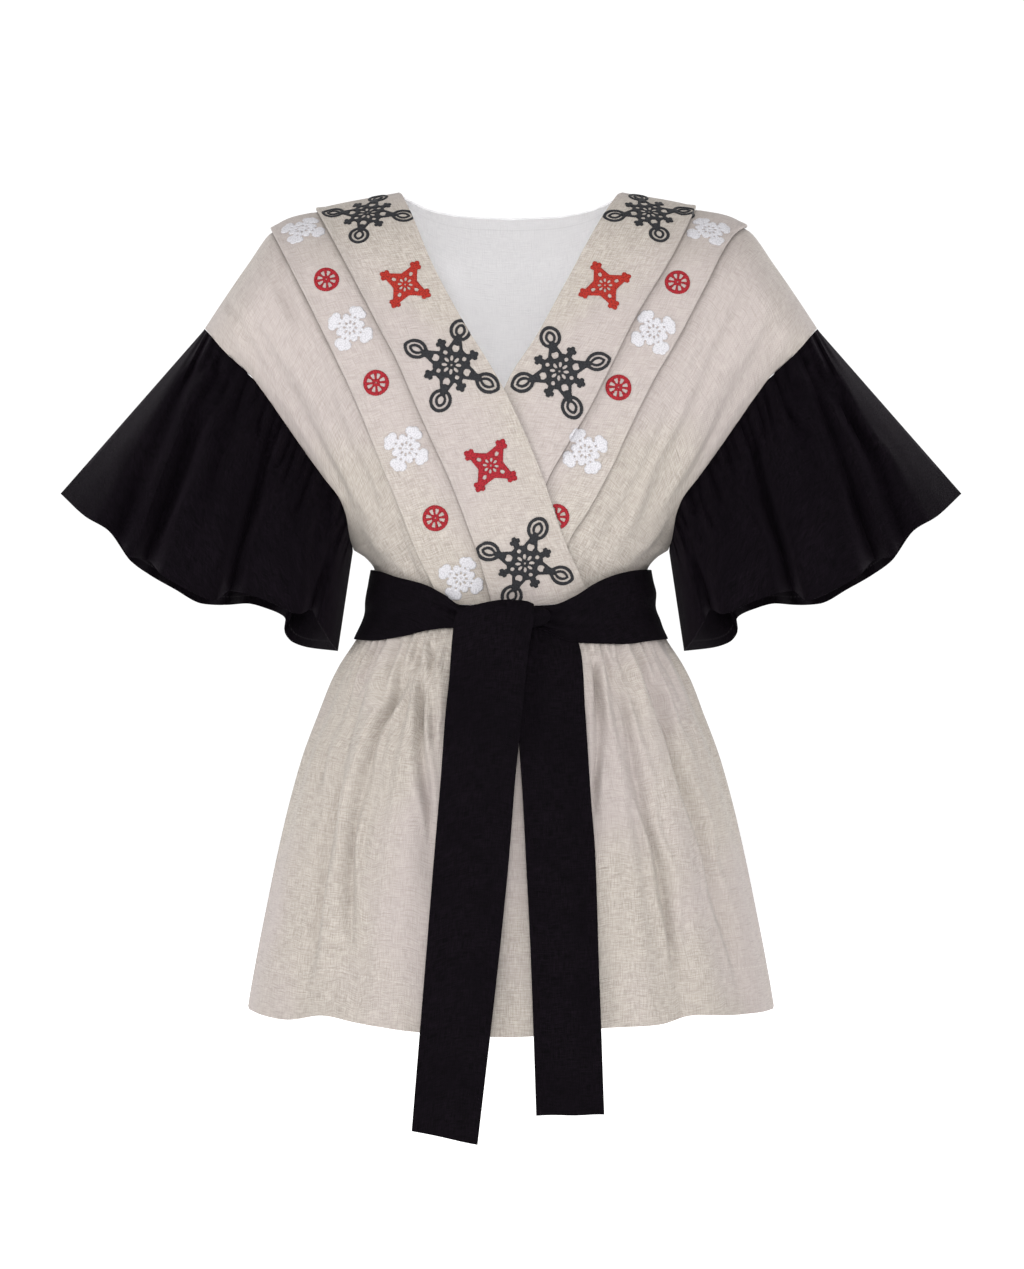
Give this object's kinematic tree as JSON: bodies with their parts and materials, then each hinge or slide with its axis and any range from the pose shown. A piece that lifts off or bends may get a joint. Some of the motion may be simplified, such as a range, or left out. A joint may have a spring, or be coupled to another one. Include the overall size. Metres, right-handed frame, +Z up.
{
  "type": "blouse",
  "caption": "Tunic-length wrap blouse in natural linen with gathered black bell sleeves, pressed shoulder pleats, a gathered lower part and a tied black sash.",
  "frame": {"origin": "on the midline, level with the two points where the neck edge meets the shoulder seams, where the shoulders of a wearer or a stand hold the garment up", "axes": "+X to the viewer's right, which is the wearer's left; +Y to the wearer's back; +Z up"},
  "size_m": [0.9008, 0.3439, 0.9263],
  "materials": {
    "linen_natural": "plain-woven natural linen with slubs, matt",
    "lining_white": "fine plain-woven white lining, matt",
    "linen_black": "plain-woven black linen, matt",
    "sash_black": "black linen, cloth doubled, matt"
  },
  "bodies": {
    "root": {"front_right": "linen_natural", "front_left": "linen_natural", "back": "linen_natural", "back_lining": "lining_white", "skirt_front": "linen_natural", "skirt_back": "linen_natural", "sleeve_right": "linen_black", "sleeve_left": "linen_black", "sash_band": "sash_black", "sash_knot": "sash_black", "sash_tail_right": "sash_black", "sash_tail_left": "sash_black"}
  },
  "joints": []
}
